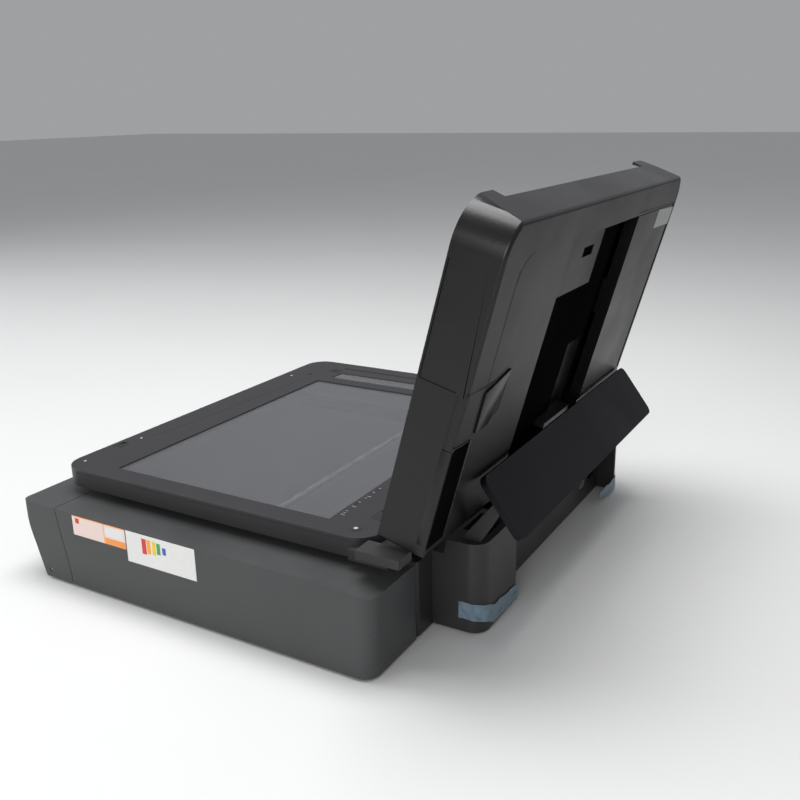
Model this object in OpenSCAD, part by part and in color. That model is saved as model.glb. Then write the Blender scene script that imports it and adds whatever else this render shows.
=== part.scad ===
// Ink-tank all-in-one printer: low body with a side ink box, flatbed scanner and feeder lid.
// The lid stands open. +X is the printer's right, +Y its rear, +Z up, floor at z = 0.

/* [Body] */
// Width of the printer over the body and the ink box
total_w = 431; // [420:1:445]
// Width of the body without the ink box
body_w = 365.7; // [355:0.1:370]
// Depth of the body from its front wall to the rear towers
body_d = 374; // [366:1:380]
// Height of the glass above the floor
glass_z = 92; // [88:1:96]
// Height of the body's top edge under the scanner
body_h = 64; // [62:1:66]
// Height of the rear towers
tower_h = 76; // [72:1:80]
// Thickness of the moulded walls
wall = 2.5; // [2:0.1:3]
// Height of the rubber feet
foot_h = 2; // [1.5:0.1:3]
// Radius of the rear tower's corner beside the ink box
rear_r = 13; // [8:1:18]
// Depth of the recess between the rear towers
recess_d = 18; // [14:1:20]

/* [Ink box] */
// Height of the ink box above the floor
tank_h = 69.3; // [67:0.1:71]
// Depth of the ink box from its front to its rear wall
tank_d = 350; // [340:1:356]
// Length of the drop-down front cover at its top edge
cover_len = 41; // [36:1:46]
// How far the cover's seam leans back at its foot
seam_lean = 13; // [10:1:15]
// Width of one ink tank
bottle_w = 13; // [11:0.5:13.5]
// Length of one ink tank
bottle_len = 120; // [90:5:150]
// Radius of a filling cap
cap_r = 5; // [4:0.1:5.5]

/* [Scanner] */
// Width of the scanner
scan_w = 390; // [384:1:396]
// Depth of the scanner
scan_d = 316; // [310:1:320]
// Height of the scanner's rim
rim_h = 15.5; // [13:0.5:18]
// Radius of the scanner's corners in plan
scan_r = 22; // [14:1:30]
// Length of the scanned page along X
glass_w = 298; // [290:1:300]
// Width of the scanned page along Y
glass_d = 218; // [212:1:220]
// Thickness of the glass
glass_t = 3; // [2:0.5:4]

/* [Lid] */
// Angle that the lid stands open from closed, in degrees
lid_open = 105.5; // [95:0.5:106]
// Length of the lid from its hinge end to its front
lid_len = 242; // [236:1:246]
// Thickness of the lid with its feeder
lid_t = 37.5; // [34:0.5:38]
// Radius of the lid's front corners in plan
lid_r = 30; // [20:1:36]
// Width of the document recess in the lid
tray_w = 153; // [140:1:160]
// Depth of the document recess at the feeder's mouth
tray_depth = 13; // [10:0.5:14]

/* [Paper support] */
// Width of the rear paper support
support_w = 328; // [300:1:330]
// Height of the rear paper support along its face
support_h = 53; // [46:1:54]
// Thickness of the rear paper support
support_t = 5.5; // [4:0.5:5.5]
// Angle that the folded support leans forward, in degrees
support_lean = 36.6; // [36:0.2:40]

/* [Output] */
// Widest sheet that the paper path takes
sheet_w = 216; // [210:1:216]
// Length of the output tray
tray_len = 130; // [120:1:132]
// Thickness of the output tray
tray_t = 4; // [3:0.5:5]

/* [Print mechanism] */
// Radius of the carriage's guide rod
rod_r = 4; // [3:0.1:5]
// Radius of the feed roller
roller_r = 6; // [5:0.1:7]
// Radius of the pulleys
pulley_r = 7; // [6:0.1:8]
// Width of the carriage
carriage_w = 80; // [60:1:90]

/* [Panel] */
// Width of the control panel
panel_w = 190; // [160:1:220]
// Height of the control panel
panel_h = 26; // [22:1:28]
// Side of a square button
button_w = 11; // [8:0.5:12]

/* [Hidden] */
$fn = 48;

fit = 0.3;              // running clearance between parts that move
pin_fit = 0.08;         // radial clearance of a pin in its bore
seam = 0.6;             // open seam between outer covers
eps = 0.02;
seat = 0.05;            // between flat faces that are glued
tape_t = 0.4;
tape_z = [5, 18];       // foot and top of the packing tapes
half_w = total_w / 2;
body_x0 = -half_w;
body_x1 = body_x0 + body_w;
tank_x1 = half_w;
lean = lid_open - 90;   // how far the open lid leans back past upright

// Lid and scanner heights and the lid's pivot
lid_gap = 1;                                  // closed lid above the scanner
pivot_drop = 9;                               // lid pivot below the glass
pivot_off = pivot_drop + lid_gap;             // underside of the lid above its pivot, lid closed
heel = 20;                                    // pivot to the hinge end of the lid
front_slant = 5.5;                            // outer front edge of the lid behind its lower one
lid_reach = (heel + lid_len - front_slant) * sin(lean) + (pivot_off + lid_t) * cos(lean);
pivot_inset = 8;                              // lid pivot in front of the scanner's rear
scan_lead = 16;                               // ink box front ahead of the scanner's front
front_to_pivot = scan_lead + scan_d - pivot_inset;
total_d = front_to_pivot + lid_reach;
front_y = -total_d / 2;
scan_y0 = front_y + scan_lead;
scan_y1 = scan_y0 + scan_d;
pivot_y = scan_y1 - pivot_inset;
pivot_z = glass_z - pivot_drop;
body_y0 = scan_y0 + 2;
body_y1 = body_y0 + body_d;
tank_y1 = front_y + tank_d;
floor_z = foot_h;
floor_t = 3;
inner_z = floor_z + floor_t;

// Scanner plan
scan_over = 34;                               // scanner past the body on the ink box side
scan_x1 = body_x1 + scan_over;
scan_x0 = scan_x1 - scan_w;
glass_inset_x = 19.8;
glass_x1 = scan_x1 - glass_inset_x;
glass_x0 = glass_x1 - glass_w;
glass_y0 = scan_y0 + 50;
glass_y1 = glass_y0 + glass_d;
strip_w = 20;
strip_gap = 16;                               // bar between the page glass and the feeder window
strip_x1 = glass_x0 - strip_gap;
strip_x0 = strip_x1 - strip_w;
rim_z = glass_z - rim_h;
tub_in = 14;                                  // tub inset under the rim
bezel_t = 3;
shelf_over = 13;                              // shelf beside the hinge past the scanner

bar_x = glass_x0 + 40;
bar_w = 16;
rail_r = 2.5;
rail_y = glass_y0 + 155;
rail_z = body_h + wall + 10;

// Rear towers and paper slot
tower_x0 = body_x1 - 88;                      // inner edge of the tower beside the ink box
tower_x1 = body_x1 - 25;                      // its outer side
tower_step = scan_y1 + 28;                    // front of the raised towers
far_tower_w = 23.3;
far_x1 = body_x0 + far_tower_w;
recess_y = body_y1 - recess_d;
slot_x0 = tower_x0 - sheet_w - 14;
slot_x1 = tower_x0 - 2;
slot_y0 = scan_y1 + 12;
slot_y1 = recess_y - 6;

// Paper support
support_top_gap = 0.9;                        // folded support to the open lid
lid_back_y = pivot_y + (pivot_off + lid_t) / cos(lean);
support_x0 = body_x0 + 11;
support_x1 = support_x0 + support_w;
support_z1 = 130.3;
support_in_z = support_z1 - support_t * sin(support_lean);
support_in_y = lid_back_y + (support_in_z - pivot_z) * tan(lean) + support_top_gap;
support_y1 = support_in_y + support_t * cos(support_lean);
support_pin_r = 2;
support_ear_r = 5;
support_pin_s = support_h * 0.46;             // pin's distance down the face from the top edge
support_pin_n = support_t + 1.2;
support_pin_y = support_y1 + support_pin_s * sin(support_lean) - support_pin_n * cos(support_lean);
support_pin_z = support_z1 - support_pin_s * cos(support_lean) - support_pin_n * sin(support_lean);
ear_t = 4;
support_skin = 1.6;                           // panel left over its stands
ear_x = [support_x0 + 2, min(support_x1, tower_x1) - 14];   // the stands keep to the towers

// Ink box
tank_x0 = body_x1 + fit;
seam_top_y = front_y + cover_len;
seam_foot_y = seam_top_y + seam_lean;
nose_lean = 20;                               // front of the ink box leans forward at its top
cover_pin_y = front_y + nose_lean + 6;
cover_pin_z = floor_z + 7;
// Seam of the ink box cover, and the round foot that lets the cover swing clear of it
seam_foot = [seam_foot_y, floor_z];
seam_dir = [-seam_lean, tank_h - floor_z] / norm([seam_lean, tank_h - floor_z]);
pin_to_foot = seam_foot - [cover_pin_y, cover_pin_z];
seam_near = seam_foot - seam_dir * (pin_to_foot * seam_dir);
seam_reach = norm(seam_near - [cover_pin_y, cover_pin_z]);
cover_pin_r = 1.5;
lug_r = cover_pin_r + 1.1;                    // half height of the lugs round that pin
lug_back = 4.6;                               // their uprights behind the pin
bottle_gap = 1.6;
bottle_h = 44;
bottle_y0 = seam_foot_y + 6;
bottle_colors = ["#202022", "#1c7fa8", "#a8285c", "#c9a71f"];
cap_len = 12;
cap_z = inner_z + 34;

// Print mechanism
rod_y = body_y0 + 176;
rod_z = inner_z + 40;
rod_x0 = body_x0 + 12;
rod_x1 = body_x1 - 12;
sheet_x1 = slot_x1 - 6;
sheet_x0 = sheet_x1 - sheet_w;
park_x = body_x1 - 24 - carriage_w;
belt_y = rod_y + 22;
belt_z = rod_z + 4;
belt_w = 6;
belt_t = 1.2;
drive_x = rod_x0 + 18;
motor_r = 10;
idle_x = rod_x1 - 14;
shaft_r = 3;
feed_y = rod_y + 46;
feed_z = inner_z + 17;
exit_y = rod_y - 46;
pick_y = slot_y0 + 2;
pick_z = inner_z + 34;
gear_r = 13;
rib_pitch = 30;
roll_pitch = 42;
feed_motor_w = 32;

// Output tray
tray_z = inner_z + 4;
tray_y0 = body_y0 + 3;
tray_x0 = sheet_x0 - 6;
tray_x1 = sheet_x1 + 6;
ext_len = 90;
stop_h = 26;
stop_t = 1.5;
stop_x0 = tray_x0 + 84 + fit;
stop_x1 = tray_x1 - 84 - fit;
stop_pin_y = tray_y0 + 12 + stop_t / 2;
stop_pin_z = tray_z + 2;
mouth_h = 26;
screw_r = 3.2;

// Control panel
panel_x0 = -panel_w / 2 - 20;
panel_x1 = panel_x0 + panel_w;
panel_t = 10;
panel_z1 = body_h - 3;
panel_z0 = panel_z1 - panel_h;
panel_y1 = body_y0 - seam;
panel_y0 = panel_y1 - panel_t;
panel_pin_r = 2;
panel_pin_y = panel_y1 - 3.5;
panel_pin_z = panel_z1 - 3.5;
button_t = 4;
button_proud = 1.4;                           // ahead of the panel's slanted face
button_x = [panel_x0 + 14, panel_x0 + 112, panel_x0 + 129, panel_x0 + 146, panel_x0 + 170];
display_x0 = panel_x0 + 30;
display_w = 62;

// Lid plan, in the lid's closed frame with its pivot at y = 0, z = 0
lid_x0 = scan_x0 - 1;
lid_x1 = scan_x1 + 1;
lid_y1 = -heel;
lid_y0 = -heel - lid_len;
lid_z0 = pivot_off;
lid_z1 = pivot_off + lid_t;
feeder_x1 = lid_x1 - 270;                     // feeder's mouth
tray_x_hi = feeder_x1 + tray_w;
tray_lid_y0 = lid_y0 + 30;
tray_lid_y1 = lid_y1 - 22;
feeder_y0 = lid_y0 + 31;
feeder_y1 = lid_y1 - 44;
feeder_x0 = lid_x0 + 6;
feeder_floor = lid_z1 - 24;
hinge_pin_r = 3;
notch_lead = 12;                              // notch for a hinge arm ahead of the pivot
arm_w = 40;
arm_x = [scan_x0 + 40, scan_x1 - 38 - arm_w];
flap_x0 = feeder_x1 + 45;
flap_w = 82;
flap_len = 47;
flap_t = 2;
flap_y0 = tray_lid_y0 + 7;
tray_floor = lid_z1 - tray_depth;
flap_pin_y = flap_y0 + flap_t / 2;
flap_pin_z = tray_floor + fit + flap_t / 2;
small_pin_r = 0.6;                            // pins of the flap and of the sheet stop
small_pin_len = 2;
guide_w = 60;
guide_t = 5;
guide_pull = 60;
guide_y = tray_lid_y1 - 14;
liner_z = lid_z0 + 9;                         // top face of the lid's liner
liner_t = 2;
panel_inset = 0.8;                            // depth of the side panels

// ---- shared shapes ----

// Axis-aligned block between two corners
module block(a, b) {
    translate(a) cube(b - a);
}

// Rectangle with its own radius at each corner: front left, front right, rear right, rear left
module plate2(x0, x1, y0, y1, r) {
    corners = [
        [x0 + r[0], y0 + r[0], r[0]], [x1 - r[1], y0 + r[1], r[1]],
        [x1 - r[2], y1 - r[2], r[2]], [x0 + r[3], y1 - r[3], r[3]]
    ];
    polygon([
        [x0 + r[0], y0], [x1 - r[1], y0], [x1, y0 + r[1]], [x1, y1 - r[2]],
        [x1 - r[2], y1], [x0 + r[3], y1], [x0, y1 - r[3]], [x0, y0 + r[0]]
    ]);
    for (c = corners) translate([c[0], c[1]]) circle(r = c[2]);
}

// Upright slab over such a rectangle
module slab(x0, x1, y0, y1, z0, z1, r) {
    translate([0, 0, z0]) linear_extrude(z1 - z0) plate2(x0, x1, y0, y1, r);
}

// Profile in the Y-Z plane, extruded along X
module along_x(x0, x1) {
    translate([x0, 0, 0]) rotate([90, 0, 90]) linear_extrude(x1 - x0) children();
}

// Profile in the X-Z plane, extruded along Y
module along_y(y0, y1) {
    translate([0, y1, 0]) rotate([90, 0, 0]) linear_extrude(y1 - y0) children();
}

// Round bar along X
module bar(x0, x1, y, z, r) {
    translate([x0, y, z]) rotate([0, 90, 0]) cylinder(r = r, h = x1 - x0);
}

// Places what is drawn in the lid's closed frame on the open lid
module on_lid() {
    translate([0, pivot_y, pivot_z]) rotate([-lid_open, 0, 0]) children();
}

// ---- body ----

module body_plan(inset) {
    difference() {
        union() {
            plate2(body_x0 + inset, body_x1 - inset, body_y0 + inset, tank_y1 - inset,
                   [for (v = [12, 4, 5, 4]) max(v - inset, 1)]);
            plate2(body_x0 + inset, tower_x1 - inset, body_y0 + inset, body_y1 - inset,
                   [for (v = [12, 4, rear_r, 24]) max(v - inset, 1)]);
        }
        translate([far_x1 - inset, recess_y - inset])
            square([tower_x0 - far_x1 + 2 * inset, body_y1]);
    }
}

module feet() {
    color("#1b1b1d")
        for (p = [[body_x0 + 40, body_y0 + 40], [body_x1 - 40, body_y0 + 40],
                  [body_x0 + 50, recess_y - 40], [body_x1 - 46, recess_y - 40],
                  [tank_x1 - 20, tank_y1 - 40], [tank_x1 - 20, seam_foot_y + 40]])
            translate([p[0], p[1], 0]) cylinder(r = 8, h = foot_h);
}

module base_tray() {
    color("#2b2b2d") difference() {
        union() {
            translate([0, 0, floor_z]) linear_extrude(floor_t) body_plan(wall + fit);
            // cradles for the rod, the feed roller and the exit roller
            for (x = [rod_x0, rod_x1 - 4])
                block([x, exit_y - 8, floor_z], [x + 4, feed_y + 12, rod_z + 7]);
            // posts for the pick-up shaft
            for (x = [sheet_x0 - 12, sheet_x1 + 4])
                block([x, pick_y - 6, floor_z], [x + 4, pick_y + 6, pick_z + 6]);
            // rails that the output tray runs on
            for (x = [tray_x0 - 6, tray_x1 + fit])
                block([x, tray_y0, floor_z], [x + 6 - fit, tray_y0 + tray_len, tray_z + tray_t]);
            for (x = [tray_x0 + 10, tray_x1 - 30])
                block([x, tray_y0 + 4, floor_z], [x + 20, tray_y0 + tray_len, tray_z - fit]);
        }
        bar(rod_x0 - 1, rod_x1 + 1, rod_y, rod_z, rod_r + pin_fit);
        bar(rod_x0 - 1, rod_x1 + 1, feed_y, feed_z, shaft_r + pin_fit);
        bar(rod_x0 - 1, rod_x1 + 1, exit_y, feed_z, shaft_r + pin_fit);
        bar(sheet_x0 - 13, sheet_x1 + 9, pick_y, pick_z, shaft_r + pin_fit);
    }
}

module tower_block() {
    // rear towers above the body's edge, with a steep step at their front
    ramp = [[tower_step, body_h - 1], [tower_step, body_h], [tower_step + 2, tower_h],
            [body_y1 + 1, tower_h], [body_y1 + 1, body_h - 1]];
    intersection() {
        translate([0, 0, body_h - 1]) linear_extrude(tower_h) body_plan(0);
        union() {
            along_x(tower_x0, body_x1 + 1) polygon(ramp);
            along_x(body_x0 - 1, far_x1) polygon(ramp);
        }
    }
}

module body_shell() {
    color("#262628") difference() {
        union() {
            difference() {
                translate([0, 0, floor_z]) linear_extrude(body_h - floor_z) body_plan(0);
                translate([0, 0, floor_z - 1]) linear_extrude(body_h - wall - floor_z + 1) body_plan(wall);
            }
            tower_block();
            // ears that carry the paper support
            for (x = ear_x) support_stand(x);
            // blocks that carry the control panel's pin
            for (x = [panel_x0 - 7, panel_x1 + seam])
                block([x, panel_pin_y - 3.5, panel_pin_z - 4], [x + 7 - seam, body_y0 + 1, panel_pin_z + 3.5]);
        }
        // well over the print mechanism, under the scanner
        block([body_x0 + 30, body_y0 + 60, body_h - 10], [body_x1 - 20, scan_y1 - 20, body_h + 1]);
        // pocket in the tower's top beside the paper support
        block([tower_x0 + 8, tower_step + 5, body_h + 1], [tower_x1 - 22, body_y1 - 6, tower_h + 1]);
        // rear paper slot
        block([slot_x0, slot_y0, body_h - 10], [slot_x1, slot_y1, body_h + 1]);
        // mouth over the output tray
        block([tray_x0 - 8, body_y0 - 1, inner_z + 1], [tray_x1 + 8, body_y0 + wall + 1, inner_z + mouth_h]);
        // window for the mains inlet and the data port in the recess wall
        block([far_x1 + 6, recess_y - wall - 1, inner_z + 12], [far_x1 + 32, recess_y + 1, inner_z + 30]);
        block([far_x1 + 40, recess_y - wall - 1, inner_z + 12], [far_x1 + 54, recess_y + 1, inner_z + 25]);
        for (x = ear_x)
            bar(x - 10, x + ear_t + 10, support_pin_y, support_pin_z, support_pin_r + eps);
        bar(panel_x0 - 8, panel_x1 + 8, panel_pin_y, panel_pin_z, panel_pin_r + eps);
    }
}

// Stand on a tower for one pin of the paper support
module support_stand(x) {
    foot_y = body_y1 - 22;
    along_x(x + ear_t + fit, x + 2 * ear_t + fit) union() {
        polygon([
            [foot_y, tower_h - 1], [foot_y + 16, tower_h - 1],
            [support_pin_y + support_ear_r - 1, support_pin_z - 1],
            [support_pin_y - support_ear_r + 1, support_pin_z + 1]
        ]);
        translate([support_pin_y, support_pin_z]) circle(r = support_ear_r - 0.8);
    }
}

module base_screws() {
    color("#8a8c90")
        for (x = [min(body_x0 + 16, tray_x0 - 8 - screw_r), body_x1 - 16], y = [body_y0 + 16, recess_y - 60])
            translate([x, y, inner_z]) {
                cylinder(r = screw_r, h = 2);
                cylinder(r = 1.4, h = 6);
            }
}

module packing_tapes() {
    // soft tape round each rear corner of the body
    color("#9cc4da") {
        intersection() {
            translate([0, 0, tape_z[0]]) linear_extrude(tape_z[1] - tape_z[0]) difference() {
                body_plan(-tape_t);
                body_plan(0);
            }
            union() {
                block([tower_x0 + 2, body_y1 - 20, 0], [tower_x1 + 1, body_y1 + 1, body_h]);
                block([body_x0 - 1, body_y1 - 14, 0], [far_x1 - 2, body_y1 + 1, body_h]);
            }
        }
    }
}

// ---- ink box ----

// Side view of the whole ink box
module tank_side(inset) {
    polygon([
        [front_y + nose_lean + inset, floor_z + inset],
        [tank_y1 - inset, floor_z + inset],
        [tank_y1 - inset, tank_h - 5 - inset],
        [tank_y1 - 18, tank_h - inset],
        [front_y + inset, tank_h - inset],
        [front_y + inset + 1, tank_h - 6 - inset]
    ]);
}

// Region of the side view that belongs to the cover
module cover_region(gap) {
    intersection() {
        polygon([
            [front_y - 5, floor_z - 1],
            seam_foot - [gap, 1], seam_foot - [gap, 0],
            [seam_top_y - gap, tank_h], [seam_top_y - gap, tank_h + 1],
            [front_y - 5, tank_h + 1]
        ]);
        union() {
            translate([cover_pin_y, cover_pin_z]) circle(r = seam_reach - gap);
            translate([front_y - 6, seam_near[1]]) square([tank_d, tank_h]);
            translate([front_y - 6, floor_z - 2]) square([cover_pin_y - front_y + 6, tank_h]);
        }
    }
}

// Solid outer form of the ink box with round upright edges on its outer side
module tank_form(inset) {
    intersection() {
        along_x(tank_x0 + inset, tank_x1 - inset) tank_side(inset);
        slab(tank_x0 + inset, tank_x1 - inset, front_y + inset, tank_y1 - inset, 0, tank_h + 1,
             [2, 8, 12, 2]);
    }
}

module ink_box() {
    color("#262628") difference() {
        union() {
            difference() {
                tank_form(0);
                tank_form(wall);
                along_x(tank_x0 - 1, tank_x1 + 1) cover_region(0);
            }
            // tongue and lugs that carry the cover's pin, behind the way of its front wall
            block([tank_x0 + 8, cover_pin_y + lug_back, floor_z], [tank_x1 - 10, seam_foot_y + 4, floor_z + 1.4]);
            for (x = [tank_x0 + 8, tank_x1 - 14]) {
                block([x, cover_pin_y + lug_back, floor_z], [x + 4, cover_pin_y + lug_back + 4, cover_pin_z + lug_r]);
                block([x, cover_pin_y - lug_r, cover_pin_z - lug_r], [x + 4, cover_pin_y + lug_back + 4, cover_pin_z + lug_r]);
            }
        }
        bar(tank_x0 + 1, tank_x1 - 1, cover_pin_y, cover_pin_z, cover_pin_r + eps);
        // hose passage to the body
        block([tank_x0 - 1, tank_y1 - 80, inner_z + 10], [tank_x0 + wall + 1, tank_y1 - 50, inner_z + 30]);
    }
}

module ink_box_cover() {
    color("#262628") difference() {
        intersection() {
            difference() {
                tank_form(0);
                tank_form(wall);
                // open at its foot
                block([tank_x0 + wall, front_y - 1, -1], [tank_x1 - wall, seam_foot_y, floor_z + wall + 1]);
            }
            along_x(tank_x0 - 1, tank_x1 + 1) cover_region(seam);
        }
        bar(tank_x0 - 1, tank_x0 + wall + 1, cover_pin_y, cover_pin_z, cover_pin_r + fit);
        bar(tank_x1 - wall - 1, tank_x1 + 1, cover_pin_y, cover_pin_z, cover_pin_r + fit);
    }
}

// Every plain steel hinge pin: ink box cover, paper support, control panel and lid
module hinge_pins() {
    color("#8a8c90") {
        bar(tank_x0 + 0.8, tank_x1 - 0.8, cover_pin_y, cover_pin_z, cover_pin_r);
        for (x = ear_x) bar(x, x + 2 * ear_t + fit, support_pin_y, support_pin_z, support_pin_r);
        bar(panel_x0 - 7, panel_x1 + 7, panel_pin_y, panel_pin_z, panel_pin_r);
        for (x = arm_x) bar(x - 10, x + arm_w + 10, pivot_y, pivot_z, hinge_pin_r);
    }
}

function bottle_x(i) = tank_x0 + wall + 1 + i * (bottle_w + bottle_gap);

module ink_tank(i) {
    x = bottle_x(i);
    color(bottle_colors[i]) difference() {
        union() {
            block([x, bottle_y0, floor_z + wall], [x + bottle_w, bottle_y0 + bottle_len, floor_z + wall + bottle_h]);
            translate([x + bottle_w / 2, bottle_y0 + eps, cap_z]) rotate([90, 0, 0]) cylinder(r = 4, h = 4);
        }
        translate([x + bottle_w / 2, bottle_y0 + 5, cap_z]) rotate([90, 0, 0]) cylinder(r = 2.6, h = 12);
        block([x + 1.5, bottle_y0 + 1.5, floor_z + wall + 1.5],
              [x + bottle_w - 1.5, bottle_y0 + bottle_len - 1.5, floor_z + wall + bottle_h - 1.5]);
    }
}

module ink_cap(i) {
    x = bottle_x(i) + bottle_w / 2;
    color(bottle_colors[i]) difference() {
        union() {
            translate([x, bottle_y0 - fit, cap_z]) rotate([90, 0, 0]) cylinder(r = cap_r, h = 6);
            translate([x, bottle_y0 - 6, cap_z]) rotate([90, 0, 0]) cylinder(r = cap_r - 1, h = cap_len - 6);
        }
        translate([x, bottle_y0 + 1, cap_z]) rotate([90, 0, 0]) cylinder(r = 4 + pin_fit, h = 5.2 + 0.1);
    }
}

// ---- electrics ----

module main_board() {
    x0 = body_x0 + 48;
    color("#2f6b45") union() {
        block([x0, recess_y - 90, inner_z], [x0 + 4, recess_y - 12, inner_z + 3]);
        block([x0, recess_y - 90, inner_z + 3], [x0 + 90, recess_y - 12, inner_z + 4.6]);
        block([x0 + 86, recess_y - 90, inner_z], [x0 + 90, recess_y - 12, inner_z + 3]);
        block([x0 + 20, recess_y - 60, inner_z + 4.6], [x0 + 44, recess_y - 36, inner_z + 7]);
        block([x0 + 60, recess_y - 80, inner_z + 4.6], [x0 + 72, recess_y - 60, inner_z + 8]);
    }
}

module power_supply() {
    color("#b8babc") block([body_x0 + 8, feed_y + 24, inner_z], [body_x0 + 42, feed_y + 66, inner_z + 30]);
}

module ac_inlet() {
    x0 = far_x1 + 6 + fit;
    x1 = far_x1 + 32 - fit;
    z0 = inner_z + 12 + fit;
    z1 = inner_z + 30 - fit;
    color("#141416") difference() {
        union() {
            block([x0, recess_y - 14, z0], [x1, recess_y - 0.4, z1]);
            block([x0 - 3, recess_y - wall - 3, z0 - 2], [x1 + 3, recess_y - wall, z1 + 2]);
        }
        block([x0 + 2.5, recess_y - 11, z0 + 2.5], [x1 - 2.5, recess_y + 1, z1 - 2.5]);
    }
    color("#b8babc")
        for (x = [x0 + 8, x1 - 8])
            translate([x, recess_y - 11.5, (z0 + z1) / 2]) rotate([-90, 0, 0]) cylinder(r = 1.1, h = 8);
}

module usb_port() {
    x0 = far_x1 + 40 + fit;
    x1 = far_x1 + 54 - fit;
    z0 = inner_z + 12 + fit;
    z1 = inner_z + 25 - fit;
    color("#b8babc") difference() {
        union() {
            block([x0, recess_y - 16, z0], [x1, recess_y - 0.4, z1]);
            block([x0 + 2, recess_y - 16, inner_z + 4.6], [x1 - 2, recess_y - 13, z0 + 1]);
        }
        block([x0 + 1, recess_y - 13, z0 + 1], [x1 - 1, recess_y + 1, z1 - 1]);
    }
    color("#e8e8e6") block([x0 + 4, recess_y - 14, z0 + 4], [x1 - 4, recess_y - 3, z1 - 4]);
}

module waste_pad() {
    color("#d8d4c8")
        block([sheet_x1 + 14, rod_y - 6, inner_z], [sheet_x1 + 54, rod_y + 30, inner_z + 14]);
}

module capping_station() {
    x0 = sheet_x1 + 14;
    color("#3a3a3c") difference() {
        block([x0, rod_y - 42, inner_z], [park_x + 66, rod_y - 8, feed_z + 0.6]);
        block([x0 + 4, rod_y - 36, feed_z - 3], [park_x + 60, rod_y - 14, feed_z + 1]);
    }
}

// ---- print mechanism ----

module guide_rod() {
    color("#b8babc") bar(rod_x0 - 3, rod_x1 + 3, rod_y, rod_z, rod_r);
}

module carriage() {
    color("#1f1f21") difference() {
        union() {
            block([park_x, rod_y - 44, feed_z + 6], [park_x + carriage_w, rod_y + 9, rod_z + 10]);
            // print head under the carriage
            block([park_x + 12, rod_y - 38, feed_z + 1], [park_x + 62, rod_y - 12, feed_z + 6 + eps]);
            // belt clip behind the carriage
            block([park_x + 30, rod_y + 9 - eps, belt_z - 2], [park_x + 46, belt_y - pulley_r - belt_t - fit - 0.1, belt_z + 8]);
        }
        bar(park_x - 1, park_x + carriage_w + 1, rod_y, rod_z, rod_r + pin_fit);
    }
}

module carriage_motor() {
    color("#8a8c90") union() {
        translate([drive_x, belt_y, inner_z]) cylinder(r = motor_r, h = belt_z - inner_z - 8);
        translate([drive_x, belt_y, inner_z]) cylinder(r = 1.6, h = belt_z + belt_w + 2 - inner_z);
    }
}

module drive_pulley() {
    color("#e8e8e6") difference() {
        translate([drive_x, belt_y, belt_z - 1]) cylinder(r = pulley_r, h = belt_w + 2);
        translate([drive_x, belt_y, belt_z - 2]) cylinder(r = 1.6 + eps, h = belt_w + 4);
    }
}

module idler_pulley() {
    color("#e8e8e6") union() {
        translate([idle_x, belt_y, belt_z - 1]) cylinder(r = pulley_r, h = belt_w + 2);
        translate([idle_x, belt_y, inner_z]) cylinder(r = 3, h = belt_z - 1 - inner_z + eps);
    }
}

module carriage_belt() {
    t = belt_t;
    color("#141416") translate([0, 0, belt_z]) linear_extrude(belt_w) difference() {
        union() {
            for (x = [drive_x, idle_x]) translate([x, belt_y]) circle(r = pulley_r + fit + t);
            translate([drive_x, belt_y - pulley_r - fit - t]) square([idle_x - drive_x, 2 * (pulley_r + fit + t)]);
        }
        for (x = [drive_x, idle_x]) translate([x, belt_y]) circle(r = pulley_r + fit);
        translate([drive_x, belt_y - pulley_r - fit]) square([idle_x - drive_x, 2 * (pulley_r + fit)]);
    }
}

module encoder_strip() {
    color("#8f9290")
        block([rod_x0 + 4, rod_y + 10.5, rod_z - 8], [rod_x1 - 4, rod_y + 11, rod_z - 2]);
}

module platen() {
    color("#1f1f21") difference() {
        block([sheet_x0 - 4, exit_y + 10, inner_z], [sheet_x1 + 8, feed_y - 10, feed_z - 2]);
        for (i = [0:6])
            block([sheet_x0 + 8 + i * rib_pitch, exit_y + 14, feed_z - 6],
                  [sheet_x0 - 4 + (i + 1) * rib_pitch, feed_y - 14, feed_z]);
        // round the carriage motor
        translate([drive_x, belt_y, inner_z - 1]) cylinder(r = motor_r + 1, h = feed_z);
    }
}

// Shaft with rubber rolls, carried by the base's cradles
module roll_shaft(y, z, r, x0, x1, roll_w, pitch) {
    bar(x0, x1, y, z, shaft_r);
    for (x = [sheet_x0 + 10 : pitch : sheet_x1 - roll_w]) bar(x, x + roll_w, y, z, r);
}

module feed_roller() {
    color("#3a3a3c") roll_shaft(feed_y, feed_z, roller_r, rod_x0 - 2, rod_x1 + 8, 30, roll_pitch);
}

module feed_gear() {
    color("#e8e8e6") difference() {
        union() {
            bar(rod_x1 + fit, rod_x1 + 5, feed_y, feed_z, gear_r);
            for (a = [0 : 15 : 359])
                translate([rod_x1 + fit, feed_y, feed_z]) rotate([a, 0, 0])
                    translate([0, -0.8, gear_r - 0.5]) cube([5 - fit, 1.6, 2]);
        }
        bar(rod_x1 - 1, rod_x1 + 9, feed_y, feed_z, shaft_r + eps);
    }
}

module feed_motor() {
    color("#8a8c90") block([rod_x1 - 8 - feed_motor_w, feed_y + 16, inner_z],
                           [rod_x1 - 8, feed_y + 16 + feed_motor_w, inner_z + 30]);
}

module exit_roller() {
    color("#3a3a3c") roll_shaft(exit_y, feed_z, roller_r - 1, rod_x0 - 2, rod_x1 + 2, 12, roll_pitch);
}

module pickup_roller() {
    color("#3a3a3c") union() {
        bar(sheet_x0 - 14, sheet_x1 + 10, pick_y, pick_z, shaft_r);
        for (x = [sheet_x0 + 70, sheet_x0 + 120]) bar(x, x + 24, pick_y, pick_z, 9);
    }
}

// ---- output tray ----

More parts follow.
